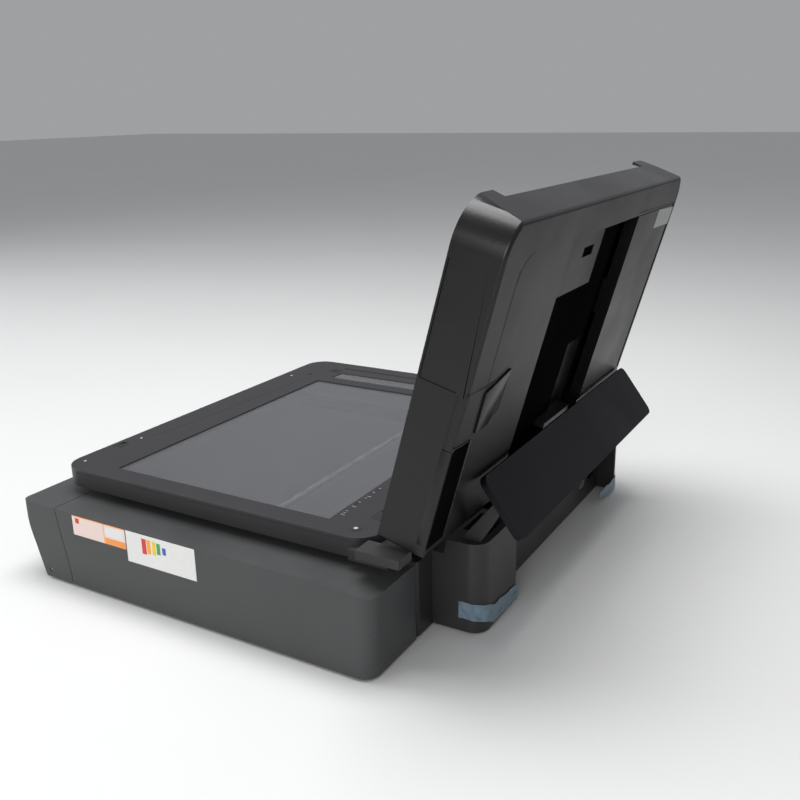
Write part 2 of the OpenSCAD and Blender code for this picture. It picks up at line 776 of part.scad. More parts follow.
module output_tray() {
    color("#1f1f21") difference() {
        block([tray_x0, tray_y0, tray_z], [tray_x1, tray_y0 + tray_len, tray_z + tray_t]);
        // pocket that the extension slides in
        block([tray_x0 + 40 - fit, tray_y0 - 1, tray_z + 1.2 - fit],
              [tray_x1 - 40 + fit, tray_y0 + ext_len + 8, tray_z + 2.8 + fit]);
        // notch over the sheet stop
        block([tray_x0 + 83, tray_y0 - 1, tray_z - 1], [tray_x1 - 83, tray_y0 + 14 + stop_h, tray_z + tray_t + 1]);
    }
}

module tray_extension() {
    color("#1f1f21") difference() {
        block([tray_x0 + 40, tray_y0 + 1, tray_z + 1.2], [tray_x1 - 40, tray_y0 + ext_len, tray_z + 2.8]);
        block([stop_x0 - fit, tray_y0, tray_z], [stop_x1 + fit, tray_y0 + 12 + stop_h, tray_z + tray_t]);
        bar(stop_x0 - small_pin_len - fit, stop_x1 + small_pin_len + fit, stop_pin_y, stop_pin_z,
            small_pin_r + pin_fit);
    }
}

module sheet_stop() {
    color("#1f1f21") union() {
        block([stop_x0, stop_pin_y, stop_pin_z - stop_t / 2],
              [stop_x1, tray_y0 + 12 + stop_h - fit, stop_pin_z + stop_t / 2]);
        // round hinge edge with a pin at each end
        bar(stop_x0, stop_x1, stop_pin_y, stop_pin_z, stop_t / 2);
        bar(stop_x0 - small_pin_len, stop_x1 + small_pin_len, stop_pin_y, stop_pin_z, small_pin_r);
    }
}

// ---- rear paper support ----

module support_profile() {
    n = [cos(support_lean), sin(support_lean)];
    f = [sin(support_lean), -cos(support_lean)];
    top = [support_y1, support_z1];
    polygon([
        top,
        top + support_h * f,
        top + support_h * f - support_t * n,
        top - support_t * n
    ]);
}

module support_channel() {
    n = [cos(support_lean), sin(support_lean)];
    f = [sin(support_lean), -cos(support_lean)];
    top = [support_y1, support_z1];
    high = top + (support_pin_s - 8) * f;
    low = top + (support_h + 1) * f;
    polygon([
        high - support_skin * n, low - support_skin * n,
        low - (support_t + 8) * n, high - (support_t + 8) * n
    ]);
}

module support_ear_profile() {
    n = [cos(support_lean), sin(support_lean)];
    f = [sin(support_lean), -cos(support_lean)];
    at = [support_pin_y, support_pin_z];
    union() {
        translate(at) circle(r = support_ear_r);
        polygon([at - support_ear_r * f, at + support_ear_r * f, at + support_ear_r * f + 4 * n, at - support_ear_r * f + 4 * n]);
    }
}

module paper_support() {
    color("#28272c") difference() {
        union() {
            along_x(support_x0, support_x1) support_profile();
            for (x = ear_x) along_x(x, x + ear_t) support_ear_profile();
        }
        // channels that keep the panel clear of its stands
        for (x = ear_x)
            along_x(x + ear_t, x + 2 * ear_t + 2 * fit) support_channel();
        for (x = ear_x)
            bar(x - 1, x + ear_t + 1, support_pin_y, support_pin_z, support_pin_r + pin_fit);
    }
}

module edge_guide() {
    x0 = slot_x0 + 4;
    color("#1f1f21") union() {
        block([x0, slot_y0 - 6, body_h + fit], [x0 + 30, slot_y1 + 4, body_h + 2 + fit]);
        block([x0 + 26, slot_y0 + 2, body_h - 6], [x0 + 30, slot_y1 - 2, body_h + 16]);
    }
}

// ---- control panel ----

module control_panel() {
    color("#1c1c1f") difference() {
        along_x(panel_x0, panel_x1) union() {
            polygon([
                [panel_y0 + 3, panel_z0], [panel_y1, panel_z0 + 3], [panel_y1, panel_pin_z],
                [panel_pin_y, panel_z1], [panel_y0 + 1, panel_z1], [panel_y0, panel_z1 - 3]
            ]);
            translate([panel_pin_y, panel_pin_z]) circle(r = 3.5);
        }
        bar(panel_x0 - 1, panel_x1 + 1, panel_pin_y, panel_pin_z, panel_pin_r + pin_fit);
        // wells for the buttons and the display
        for (x = button_x)
            block([x - button_w / 2 - fit, panel_y0 - 2, panel_z0 + 5 - fit],
                  [x + button_w / 2 + fit, panel_y0 + 6.2, panel_z0 + 5 + button_w + fit]);
        block([display_x0, panel_y0 - 2, panel_z0 + 4], [display_x0 + display_w, panel_y0 + 3, panel_z0 + 19]);
    }
}

module display() {
    color("#10141c")
        block([display_x0 + fit, panel_y0 + 1.4, panel_z0 + 4 + fit],
              [display_x0 + display_w - fit, panel_y0 + 3, panel_z0 + 19 - fit]);
}

module panel_button(i) {
    x = button_x[i];
    color("#d0d2d4")
        block([x - button_w / 2, panel_y0 + 2 - button_proud, panel_z0 + 5],
              [x + button_w / 2, panel_y0 + 2 - button_proud + button_t, panel_z0 + 5 + button_w]);
}

// ---- scanner ----

module scan_plan(inset) {
    r = max(scan_r - inset, 2);
    plate2(scan_x0 + inset, scan_x1 - inset, scan_y0 + inset, scan_y1 - inset, [r, r, r, r]);
}

// Notches in the scanner's rear for the lid's hinge arms
module arm_notches(z0) {
    for (x = arm_x)
        block([x - 1, pivot_y - notch_lead, z0], [x + arm_w + 1, scan_y1 + 1, glass_z + 1]);
}

module scanner_case() {
    tub_x0 = scan_x0 + tub_in;
    tub_x1 = body_x1 - 1;
    tub_y0 = scan_y0 + tub_in;
    tub_y1 = scan_y1 - 4;
    tub_r = [10, 6, 4, 4];
    color("#242427") difference() {
        union() {
            translate([0, 0, rim_z]) linear_extrude(rim_h - bezel_t) scan_plan(0);
            slab(tub_x0, tub_x1, tub_y0, tub_y1, body_h, rim_z + eps, tub_r);
            // shelf beside the lid's hinge, on its bracket
            block([scan_x1 - 30, scan_y1 - 16, rim_z], [scan_x1 + 4, scan_y1 + 16, glass_z - 7]);
            block([scan_x1 - 5, scan_y1 - 4, glass_z - 8], [scan_x1 + shelf_over, scan_y1 + 31, glass_z - 1]);
        }
        // hollow for the scan bar
        slab(scan_x0 + 8, scan_x1 - 8, scan_y0 + 8, pivot_y - notch_lead - 4, rim_z + wall, glass_z, [14, 14, 2, 2]);
        slab(tub_x0 + wall, tub_x1 - wall, tub_y0 + wall, pivot_y - notch_lead - 4, body_h + wall, glass_z, [8, 4, 2, 2]);
        arm_notches(pivot_z - 8);
        for (x = arm_x)
            bar(x - 12, x + arm_w + 12, pivot_y, pivot_z, hinge_pin_r + eps);
        bar(scan_x0 + tub_in + wall - 1, body_x1 - wall, rail_y, rail_z, rail_r + eps);
    }
}

module scanner_bezel() {
    color("#242427") difference() {
        translate([0, 0, glass_z - bezel_t]) linear_extrude(bezel_t) scan_plan(0);
        block([glass_x0, glass_y0, glass_z - bezel_t - 1], [glass_x1, glass_y1, glass_z + 1]);
        block([strip_x0, glass_y0 + 8, glass_z - bezel_t - 1], [strip_x1, glass_y1 - 6, glass_z + 1]);
        // ledge that the glass sits in
        block([glass_x0 - 5, glass_y0 - 5, glass_z - bezel_t - 1], [glass_x1 + 5, glass_y1 + 5, glass_z - 1]);
        arm_notches(glass_z - bezel_t - 1);
        // latch pocket in the front margin
        block([glass_x1 - 50, scan_y0 + 5, glass_z - 1.5], [glass_x1 - 38, scan_y0 + 11, glass_z + 1]);
        // size marks beside the glass
        for (i = [0:3])
            block([glass_x1 - 20 - i * 16, glass_y1 + 3, glass_z - 0.5], [glass_x1 - 14 - i * 16, glass_y1 + 5, glass_z + 1]);
    }
}

module scanner_glass() {
    color([0.5, 0.55, 0.56, 0.5])
        block([glass_x0 - 4.6, glass_y0 - 4.6, glass_z - 1 - glass_t], [glass_x1 + 4.6, glass_y1 + 4.6, glass_z - 1]);
}

module feeder_window() {
    color([0.5, 0.55, 0.56, 0.5])
        block([strip_x0 + fit, glass_y0 + 8 + fit, glass_z - bezel_t], [strip_x1 - fit, glass_y1 - 6 - fit, glass_z - 0.8]);
}

module scan_bar() {
    color("#1a1a1c") difference() {
        union() {
            block([bar_x, glass_y0 - 3, rim_z + wall + 1], [bar_x + bar_w, glass_y1 + 3, glass_z - 1 - glass_t - 0.6]);
            // shoe that rides on the rail
            block([bar_x - bar_w, rail_y - 8, rail_z - 5], [bar_x + eps, rail_y + 8, rim_z + wall + 6]);
        }
        bar(bar_x - bar_w - 1, bar_x + bar_w + 1, rail_y, rail_z, rail_r + pin_fit);
    }
}

module scan_rail() {
    color("#8a8c90")
        bar(scan_x0 + tub_in + wall - 1, body_x1 - wall, rail_y, rail_z, rail_r);
}

// ---- lid ----

module lid_plan(inset) {
    plate2(lid_x0 + inset, lid_x1 - inset, lid_y0 + inset, lid_y1 - inset,
           [lid_r - inset, lid_r - inset, 2, 2]);
}

// Well in the lid's top that slopes down to the feeder's mouth
module tray_well() {
    along_y(tray_lid_y0, tray_lid_y1) polygon([
        [feeder_x1, tray_floor], [tray_x_hi - 21, tray_floor], [tray_x_hi, lid_z1 - 1],
        [tray_x_hi, lid_z1 + 1], [feeder_x1, lid_z1 + 1]
    ]);
}

// Pockets between the ribs inside the lid
module lid_pockets() {
    pocket_x = [[lid_x0 + 8, feeder_x1 - 8, feeder_floor - wall], [feeder_x1 + 4, -44, tray_floor - 2 * wall], [-40, -16, tray_floor - wall],
                [-12, tray_x_hi - 4, tray_floor - wall], [tray_x_hi + 4, lid_x1 - 8, lid_z1 - wall]];
    pocket_y = [[lid_y0 + 34, lid_y0 + 98], [lid_y0 + 102, lid_y0 + 166], [lid_y0 + 170, lid_y1 - 24]];
    for (px = pocket_x, py = pocket_y)
        block([px[0], py[0], lid_z0 - 1], [px[1], py[1], px[2]]);
}

// Slanted front face, inset side panels and the joints between the outer covers
module lid_trim_cuts() {
    joint_x = lid_x1 - 29;
    joint_y = lid_y0 + 116;
    along_x(lid_x0 - 1, lid_x1 + 1) polygon([
        [lid_y0 - 1, lid_z0 - 1], [lid_y0, lid_z0], [lid_y0 + front_slant, lid_z1],
        [lid_y0 + front_slant, lid_z1 + 1], [lid_y0 - 1, lid_z1 + 1]
    ]);
    for (x = [lid_x0 - 1, lid_x1 - panel_inset])
        block([x, lid_y0 + 37, lid_z0 + 1.5], [x + 1 + panel_inset, joint_y + 2, lid_z0 + 29]);
    block([joint_x, lid_y0 + 38, lid_z1 - seam], [joint_x + seam, lid_y1 - 92, lid_z1 + 1]);
    block([lid_x1 - 67, joint_y, lid_z1 - seam], [lid_x1 + 1, joint_y + seam, lid_z1 + 1]);
}

module lid_case() {
    color("#232326") on_lid() difference() {
        union() {
            difference() {
                translate([0, 0, lid_z0]) linear_extrude(lid_t) lid_plan(0);
                // hollow under the top, with ribs that carry the liner
                translate([0, 0, lid_z0 - 1]) linear_extrude(liner_z - lid_z0 + 1) lid_plan(wall);
                lid_pockets();
                tray_well();
                // bay for the feeder
                block([feeder_x0 - seam, feeder_y0 - seam, feeder_floor], [feeder_x1 + eps, feeder_y1 + seam, lid_z1 + 1]);
            }
            // hinge arms
            for (x = arm_x) {
                block([x, -heel - 20, liner_z], [x + arm_w, -6, lid_z0 + 14]);
                along_x(x, x + arm_w) polygon([[-8, lid_z0 + 14], [-16, lid_z0 + 14], [-5, -2], [2, 3]]);
                bar(x, x + arm_w, 0, 0, 6);
            }
            // carriers of the feeder roller
            for (y = [feeder_y0 + 20, feeder_y1 - 24])
                block([feeder_x1 - 50, y, feeder_floor - eps], [feeder_x1 - 34, y + 4, feeder_floor + 12.5]);
            // ears of the document flap
            for (x = [flap_x0 - fit - 3, flap_x0 + flap_w + fit])
                block([x, flap_pin_y - 1.6, tray_floor - eps], [x + 3, flap_pin_y + 1.6, flap_pin_z + 1.6]);
        }
        bar(flap_x0 - small_pin_len - fit, flap_x0 + flap_w + small_pin_len + fit, flap_pin_y, flap_pin_z,
            small_pin_r + pin_fit);
        lid_trim_cuts();
        // finger recess along the front edge
        block([lid_x0 + 50, lid_y0 - 1, lid_z0 - 1], [lid_x1 - 44, lid_y0 + 9, lid_z0 + 9]);
        for (x = arm_x) bar(x - 1, x + arm_w + 1, 0, 0, hinge_pin_r + pin_fit);
        translate([feeder_x1 - 42, feeder_y1 - 10, feeder_floor + 8]) rotate([90, 0, 0])
            cylinder(r = shaft_r + pin_fit, h = feeder_y1 - feeder_y0 - 20);
        // groove of the document guides
        block([feeder_x1 + 8, guide_y - guide_pull - 4, tray_floor - 2], [feeder_x1 + 38, guide_y + 13, tray_floor + 1]);
        // bearing seats of the feeder cover
        feeder_pin(1.5 * pin_fit, 3 + fit);
    }
}

// Pivot of the feeder cover, along the lid's Y at its left end
module feeder_pin(gap, over) {
    translate([feeder_x0 + 5, feeder_y1 + over, lid_z1 - 5]) rotate([90, 0, 0])
        cylinder(r = 2 + gap, h = feeder_y1 - feeder_y0 + 2 * over);
}

// Plate inside the lid that carries the pad
module lid_liner() {
    color("#1c1c1f") on_lid() difference() {
        translate([0, 0, liner_z - liner_t - seat]) linear_extrude(liner_t) lid_plan(wall + fit);
        block([lid_x0 + 49, lid_y0 - 1, lid_z0 - 1], [lid_x1 - 43, lid_y0 + 10, lid_z0 + 10]);
    }
}

module lid_pad() {
    color("#e8e8e6") on_lid()
        block([glass_x0 - 3, lid_y0 + 12, lid_z0 + 0.5], [glass_x1 + 3, lid_y1 - 8, liner_z - liner_t - 2 * seat]);
}

module feeder_cover() {
    color("#232326") on_lid() difference() {
        union() {
            block([feeder_x0 + 5, feeder_y0, lid_z1 - 10], [feeder_x1 - 4, feeder_y1, lid_z1]);
            translate([feeder_x0 + 5, feeder_y1, lid_z1 - 5]) rotate([90, 0, 0])
                cylinder(r = 5, h = feeder_y1 - feeder_y0);
            feeder_pin(0, 3);
        }
        block([feeder_x0 + wall + 8, feeder_y0 + wall, lid_z1 - 11], [feeder_x1 - 4 - wall, feeder_y1 - wall, lid_z1 - wall]);
    }
}

module feeder_guide() {
    color("#1c1c1f") on_lid() union() {
        block([feeder_x1 + 6, guide_y, tray_floor + fit], [feeder_x1 + 6 + guide_w, guide_y + guide_t, tray_floor + 9]);
        block([feeder_x1 + 10, guide_y - 2, tray_floor - 1.7], [feeder_x1 + 36, guide_y + 12, tray_floor + fit + eps]);
    }
}

module document_flap() {
    color("#232326") on_lid() {
        difference() {
            block([flap_x0, flap_pin_y, tray_floor + fit],
                  [flap_x0 + flap_w, flap_y0 + flap_len, tray_floor + fit + flap_t]);
            block([flap_x0 + 18, flap_y0 + 12, tray_floor], [flap_x0 + 40, flap_y0 + 20, tray_floor + 5]);
        }
        // round hinge edge with a pin at each end
        bar(flap_x0, flap_x0 + flap_w, flap_pin_y, flap_pin_z, flap_t / 2);
        bar(flap_x0 - small_pin_len, flap_x0 + flap_w + small_pin_len, flap_pin_y, flap_pin_z, small_pin_r);
    }
}

module feeder_roller() {
    color("#3a3a3c") on_lid() {
        x = feeder_x1 - 42;
        z = feeder_floor + 8;
        translate([x, feeder_y1 - 18, z]) rotate([90, 0, 0]) cylinder(r = shaft_r, h = feeder_y1 - feeder_y0 - 36);
        translate([x, (feeder_y0 + feeder_y1) / 2 + 16, z]) rotate([90, 0, 0]) cylinder(r = 7, h = 32);
    }
}

feet();
base_tray();
body_shell();
base_screws();
packing_tapes();
ink_box();
ink_box_cover();
hinge_pins();
ink_tank(0);  // ink_tank_black
ink_tank(1);  // ink_tank_cyan
ink_tank(2);  // ink_tank_magenta
ink_tank(3);  // ink_tank_yellow
ink_cap(0);  // cap_black
ink_cap(1);  // cap_cyan
ink_cap(2);  // cap_magenta
ink_cap(3);  // cap_yellow
main_board();
power_supply();
ac_inlet();
usb_port();
waste_pad();
capping_station();
guide_rod();
carriage();
carriage_motor();
drive_pulley();
idler_pulley();
carriage_belt();
encoder_strip();
platen();
feed_roller();
feed_gear();
feed_motor();
exit_roller();
pickup_roller();
output_tray();
tray_extension();
sheet_stop();
paper_support();
edge_guide();
control_panel();
display();
panel_button(0);  // button_power
panel_button(1);  // button_menu
panel_button(2);  // button_ok
panel_button(3);  // button_stop
panel_button(4);  // button_start
scanner_case();
scanner_bezel();
scanner_glass();
feeder_window();
scan_bar();
scan_rail();
lid_case();
lid_liner();
lid_pad();
feeder_cover();
feeder_guide();
document_flap();
feeder_roller();
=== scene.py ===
from math import cos, pi, radians, sin

import bmesh
import bpy
from mathutils import Matrix, Vector


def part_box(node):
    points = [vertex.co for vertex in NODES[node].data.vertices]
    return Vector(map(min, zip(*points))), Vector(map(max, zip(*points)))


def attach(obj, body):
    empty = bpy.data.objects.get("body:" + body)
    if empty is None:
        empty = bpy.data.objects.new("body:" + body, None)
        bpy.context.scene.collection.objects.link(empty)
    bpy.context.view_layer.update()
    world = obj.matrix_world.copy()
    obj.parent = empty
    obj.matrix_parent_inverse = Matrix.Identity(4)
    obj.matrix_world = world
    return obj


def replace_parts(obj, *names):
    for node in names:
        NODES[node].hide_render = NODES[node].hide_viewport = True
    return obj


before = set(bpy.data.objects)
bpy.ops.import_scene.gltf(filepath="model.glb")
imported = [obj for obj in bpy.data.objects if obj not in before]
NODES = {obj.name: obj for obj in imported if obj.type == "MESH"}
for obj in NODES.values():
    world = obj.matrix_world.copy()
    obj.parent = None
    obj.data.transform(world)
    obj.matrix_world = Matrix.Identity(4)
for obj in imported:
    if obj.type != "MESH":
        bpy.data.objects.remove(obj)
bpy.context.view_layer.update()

MM = 0.001
SCENE = bpy.context.scene

# ---- places that come from the frame, in metres ----
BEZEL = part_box("scanner_bezel")
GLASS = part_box("scanner_glass")
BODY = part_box("body_shell")
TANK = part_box("ink_box")
SUPPORT_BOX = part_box("paper_support")
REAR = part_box("packing_tapes")[1].y / MM    # outer face of the tapes at the back, in millimetres
GLASS_LAP = 0.0046                          # how far the glass reaches under its bezel
GX1, GY0, GZ = GLASS[1].x - GLASS_LAP, GLASS[0].y + GLASS_LAP, BEZEL[1].z
LID_OPEN = radians(105.5)
PIVOT = Vector((0.0, BEZEL[1].y - 0.008, BEZEL[1].z - 0.009))
LID_TURN = Matrix.Translation(PIVOT) @ Matrix.Rotation(-LID_OPEN, 4, "X")
LID_BACK = LID_TURN.inverted()
DECK_Z = GZ / MM                            # top of the scanner's deck, in millimetres
SHIFT = GY0 / MM + 153.895                  # brings deck and label places, in millimetres, into the row frame


# ---- materials ----

class Nodes:
    """One node material, with short helpers."""

    def __init__(self, name):
        self.mat = bpy.data.materials.new(name)
        self.mat.use_nodes = True
        self.tree = self.mat.node_tree
        self.bsdf = self.tree.nodes["Principled BSDF"]
        self.coord = self.tree.nodes.new("ShaderNodeTexCoord")

    def add(self, kind, **inputs):
        node = self.tree.nodes.new(kind)
        for key, value in inputs.items():
            node.inputs[key.replace("_", " ")].default_value = value
        return node

    def link(self, a, b):
        self.tree.links.new(a, b)

    def noise(self, scale, detail=3.0, rough=0.5, stretch=None):
        """Fractal noise in the piece's own coordinates."""
        node = self.add("ShaderNodeTexNoise", Scale=scale, Detail=detail, Roughness=rough)
        vec = self.coord.outputs["Object"]
        if stretch:
            mapping = self.tree.nodes.new("ShaderNodeMapping")
            mapping.inputs["Scale"].default_value = stretch
            self.link(vec, mapping.inputs["Vector"])
            vec = mapping.outputs["Vector"]
        self.link(vec, node.inputs["Vector"])
        return node.outputs["Fac"]

    def ramp(self, fac, stops):
        """A colour ramp; a stop with one value is a grey."""
        node = self.tree.nodes.new("ShaderNodeValToRGB")
        while len(node.color_ramp.elements) < len(stops):
            node.color_ramp.elements.new(0.5)
        for e, (pos, col) in zip(node.color_ramp.elements, stops):
            e.position = pos
            e.color = (*col, 1) if len(col) == 3 else (col[0], col[0], col[0], 1)
        self.link(fac, node.inputs["Fac"])
        return node.outputs["Color"]

    def bump(self, height, strength, distance):
        """Wires a bump of this height to the shader's normal."""
        node = self.add("ShaderNodeBump", Strength=strength, Distance=distance)
        self.link(height, node.inputs["Height"])
        self.link(node.outputs["Normal"], self.bsdf.inputs["Normal"])

    def rough(self, fac, stops):
        """Wires a roughness that runs through these (place, value) stops."""
        self.link(self.ramp(fac, [(pos, (value,)) for pos, value in stops]), self.bsdf.inputs["Roughness"])

    def colour(self, fac, stops):
        """Wires a base colour that runs through these (place, colour) stops."""
        self.link(self.ramp(fac, stops), self.bsdf.inputs["Base Color"])


def moulded(name, base, rough, grain=1100, depth=0.00012, spread=0.12, spec=0.5):
    """Moulded plastic with a fine spark-eroded texture, slight mottling and uneven gloss."""
    lift = 0.002        # keeps the light spots of a black plastic from vanishing
    n = Nodes(name)
    fine = n.noise(grain, detail=2.0, rough=0.6)
    broad = n.noise(18, detail=3.0, rough=0.55)
    lo = [c * (1 - spread) for c in base]
    hi = [min(1, c * (1 + spread) + lift) for c in base]
    tint = n.ramp(broad, [(0.3, lo), (0.7, hi)])
    speck = n.ramp(fine, [(0.35, [c * 0.86 for c in base]), (0.65, [c * 1.14 + lift for c in base])])
    mix = n.tree.nodes.new("ShaderNodeMix")
    mix.data_type = "RGBA"
    mix.inputs["Factor"].default_value = 0.5
    n.link(tint, mix.inputs["A"])
    n.link(speck, mix.inputs["B"])
    n.link(mix.outputs["Result"], n.bsdf.inputs["Base Color"])
    n.rough(broad, [(0.25, max(rough - 0.05, 0)), (0.75, min(rough + 0.06, 1))])
    n.bump(fine, strength=0.5, distance=depth)
    n.bsdf.inputs["Specular IOR Level"].default_value = spec
    return n.mat


def glossy(name, base, rough=0.12):
    """Polished plastic or ink with faint smears."""
    n = Nodes(name)
    smear = n.noise(35, detail=4.0, rough=0.6)
    n.rough(smear, [(0.3, rough * 0.7), (0.8, min(1, rough * 1.9))])
    n.colour(smear, [(0.2, base), (0.8, [min(1, c * 1.12 + 0.001) for c in base])])
    n.bump(n.noise(60, detail=2.0), strength=0.06, distance=0.0004)
    return n.mat


def metal(name, base, rough=0.28):
    """Metal with brush marks along x."""
    n = Nodes(name)
    brush = n.noise(900, detail=2.0, stretch=(0.05, 1, 1))
    n.bsdf.inputs["Metallic"].default_value = 1.0
    n.colour(brush, [(0.3, [c * 0.85 for c in base]), (0.7, base)])
    n.rough(brush, [(0.3, rough * 0.8), (0.7, rough * 1.4)])
    n.bump(brush, strength=0.2, distance=0.00005)
    return n.mat


def glass_pane(name):
    """Clear glass with a little dust."""
    n = Nodes(name)
    n.bsdf.inputs["Transmission Weight"].default_value = 0.92
    n.bsdf.inputs["IOR"].default_value = 1.46
    dust = n.noise(40, detail=5.0, rough=0.7)
    n.rough(dust, [(0.4, 0.01), (0.85, 0.07)])
    n.colour(dust, [(0.0, (0.58, 0.59, 0.64)), (1.0, (0.66, 0.67, 0.71))])
    return n.mat


def tape_film(name):
    """Wrinkled, slightly clear blue film."""
    n = Nodes(name)
    wrinkle = n.noise(160, detail=4.0, rough=0.6)
    n.colour(wrinkle, [(0.25, (0.10, 0.16, 0.20)), (0.75, (0.19, 0.27, 0.33))])
    n.rough(wrinkle, [(0.3, 0.25), (0.8, 0.5)])
    n.bump(wrinkle, strength=0.5, distance=0.0008)
    n.bsdf.inputs["Transmission Weight"].default_value = 0.12
    return n.mat


def printed(name, base, rough=0.35):
    """Coated paper of one colour."""
    n = Nodes(name)
    fibre = n.noise(420, detail=3.0, rough=0.6)
    n.colour(fibre, [(0.3, [c * 0.94 for c in base]), (0.7, base)])
    n.rough(fibre, [(0.3, rough * 0.85), (0.8, min(1, rough * 1.3))])
    n.bump(fibre, strength=0.1, distance=0.00004)
    return n.mat


CASE = moulded("case_texture", (0.022, 0.021, 0.022), 0.44, spec=0.4)
BOXMAT = moulded("ink_box_texture", (0.050, 0.051, 0.052), 0.46, spec=0.4)
LIDMAT = moulded("lid_texture", (0.0075, 0.007, 0.008), 0.27, spec=0.34)
# a darker, less glossy copy of the lid plastic, painted shade, for the lid's faces that point out and for the
# feeder cover and flap on them
LID_FACE_SHADED = moulded("lid_face_shaded_texture", (0.0065, 0.006, 0.007), 0.33, spec=0.13)
DECK = moulded("deck_texture", (0.021, 0.020, 0.023), 0.42, grain=900, spec=0.4)
SUPPORT = moulded("support_texture", (0.005, 0.005, 0.0080), 0.46, spec=0.16)
SMOOTH = moulded("smooth_black", (0.012, 0.012, 0.013), 0.38, grain=500, depth=0.00003, spec=0.4)
# near-black without any gloss: for the scan bar, and painted shade in the lid's paper well and on the near
# hinge cover
BLACK_AND_SHADE = moulded("inner_black_and_shade", (0.003, 0.003, 0.0034), 0.7, grain=600, depth=0.00005, spec=0.0)
RUBBER = moulded("rubber", (0.03, 0.03, 0.03), 0.8, grain=700, depth=0.0001)
WHITE = moulded("pad_white", (0.72, 0.72, 0.70), 0.5, grain=300, depth=0.00008, spread=0.03)
GEAR = moulded("gear_white", (0.66, 0.66, 0.63), 0.45, grain=500, depth=0.00004, spread=0.04)
GREY = moulded("button_grey", (0.40, 0.41, 0.42), 0.4, grain=700, depth=0.00005, spread=0.04)
BOARD = moulded("board_green", (0.015, 0.13, 0.06), 0.4, grain=260, depth=0.00006)
FELT = moulded("felt", (0.55, 0.53, 0.48), 0.95, grain=240, depth=0.0006, spread=0.08)
STEEL = metal("steel", (0.62, 0.62, 0.63))
TIN = metal("tin_plate", (0.55, 0.56, 0.57), 0.4)
PANEL = glossy("panel_gloss", (0.012, 0.012, 0.013), 0.10)
SCREEN = glossy("screen", (0.006, 0.009, 0.012), 0.06)
PANE = glass_pane("pane")
FILM = tape_film("tape_film")
INK_K = glossy("ink_black", (0.012, 0.012, 0.014), 0.2)
INK_C = glossy("ink_cyan", (0.01, 0.20, 0.38), 0.2)
INK_M = glossy("ink_magenta", (0.38, 0.015, 0.11), 0.2)
INK_Y = glossy("ink_yellow", (0.62, 0.42, 0.015), 0.2)
LABEL_WHITE = printed("label_white", (0.74, 0.74, 0.72))
LABEL_ORANGE = printed("label_orange", (0.88, 0.30, 0.06))
LABEL_RED = printed("label_red", (0.62, 0.03, 0.03))
LABEL_YELLOW = printed("label_yellow", (0.80, 0.56, 0.03))
LABEL_GREEN = printed("label_green", (0.05, 0.32, 0.08))
LABEL_BLUE = printed("label_blue", (0.03, 0.10, 0.42))
LABEL_PALE = printed("label_pale", (0.80, 0.64, 0.58))
LABEL_AMBER = printed("label_amber", (0.85, 0.38, 0.03))
LABEL_GREY = printed("label_grey", (0.30, 0.30, 0.30))
# near-black for joint lines, slots, pockets and gaps, and for the painted shadow beside the hinge fin
GROOVE_AND_SHADE = moulded("groove", (0.006, 0.006, 0.006), 0.8, grain=500, depth=0.00002)

BY_NODE = {
    "feet": RUBBER, "base_tray": SMOOTH, "body_shell": CASE, "base_screws": STEEL, "packing_tapes": FILM,
    "ink_box": BOXMAT, "ink_box_cover": BOXMAT, "hinge_pins": STEEL,
    "ink_tank_black": INK_K, "ink_tank_cyan": INK_C, "ink_tank_magenta": INK_M, "ink_tank_yellow": INK_Y,
    "cap_black": INK_K, "cap_cyan": INK_C, "cap_magenta": INK_M, "cap_yellow": INK_Y,
    "main_board": BOARD, "power_supply": TIN, "ac_inlet": SMOOTH, "usb_port": TIN, "waste_pad": FELT,
    "capping_station": SMOOTH, "guide_rod": STEEL, "carriage": SMOOTH, "carriage_motor": STEEL,
    "drive_pulley": GEAR, "idler_pulley": GEAR, "carriage_belt": RUBBER, "encoder_strip": STEEL,
    "platen": SMOOTH, "feed_roller": RUBBER, "feed_gear": GEAR, "feed_motor": STEEL, "exit_roller": RUBBER,
    "pickup_roller": RUBBER, "output_tray": SMOOTH, "tray_extension": SMOOTH, "sheet_stop": SMOOTH,
    "paper_support": SUPPORT, "edge_guide": SMOOTH, "control_panel": PANEL, "display": SCREEN,
    "button_power": GREY, "button_menu": GREY, "button_ok": GREY, "button_stop": GREY, "button_start": GREY,
    "scanner_case": CASE, "scanner_bezel": DECK, "scanner_glass": PANE, "feeder_window": PANE,
    "scan_bar": BLACK_AND_SHADE, "scan_rail": STEEL, "lid_case": LIDMAT, "lid_liner": SMOOTH, "lid_pad": WHITE,
    "feeder_cover": LID_FACE_SHADED, "feeder_guide": SMOOTH, "document_flap": LID_FACE_SHADED, "feeder_roller": RUBBER,
}
for node, solid in NODES.items():
    if not solid.material_slots:
        solid.data.materials.append(BY_NODE[node])
    for material_slot in solid.material_slots:
        material_slot.material = BY_NODE[node]


# ---- building helpers ----

def put(name, bm, mat, body, smooth_angle=35):
    """Makes one piece from a bmesh and lets it ride on a CAD body."""
    mesh = bpy.data.meshes.new(name)
    bm.to_mesh(mesh)
    bm.free()
    obj = bpy.data.objects.new(name, mesh)
    SCENE.collection.objects.link(obj)
    mesh.materials.append(mat)
    mesh.shade_smooth()
    mesh.set_sharp_from_angle(angle=radians(smooth_angle))
    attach(obj, body)
    return obj


WELD = 2e-6                 # corners closer than this are one
FLAT = radians(0.8)         # faces that meet at less than this are one
SHARP = radians(30)         # edges that are rounded


def sharp_edges(edges):
    return [e for e in edges if e.is_manifold and e.calc_face_angle(0) > SHARP]


def rounded(bm, width, segments=2, edges=None, clamp=True):
    """Rounds these edges of a bmesh, or all its sharp ones."""
    bmesh.ops.bevel(bm, geom=sharp_edges(bm.edges) if edges is None else edges, offset=width,
                    affect="EDGES", segments=segments, profile=0.5, material=-1, clamp_overlap=clamp)


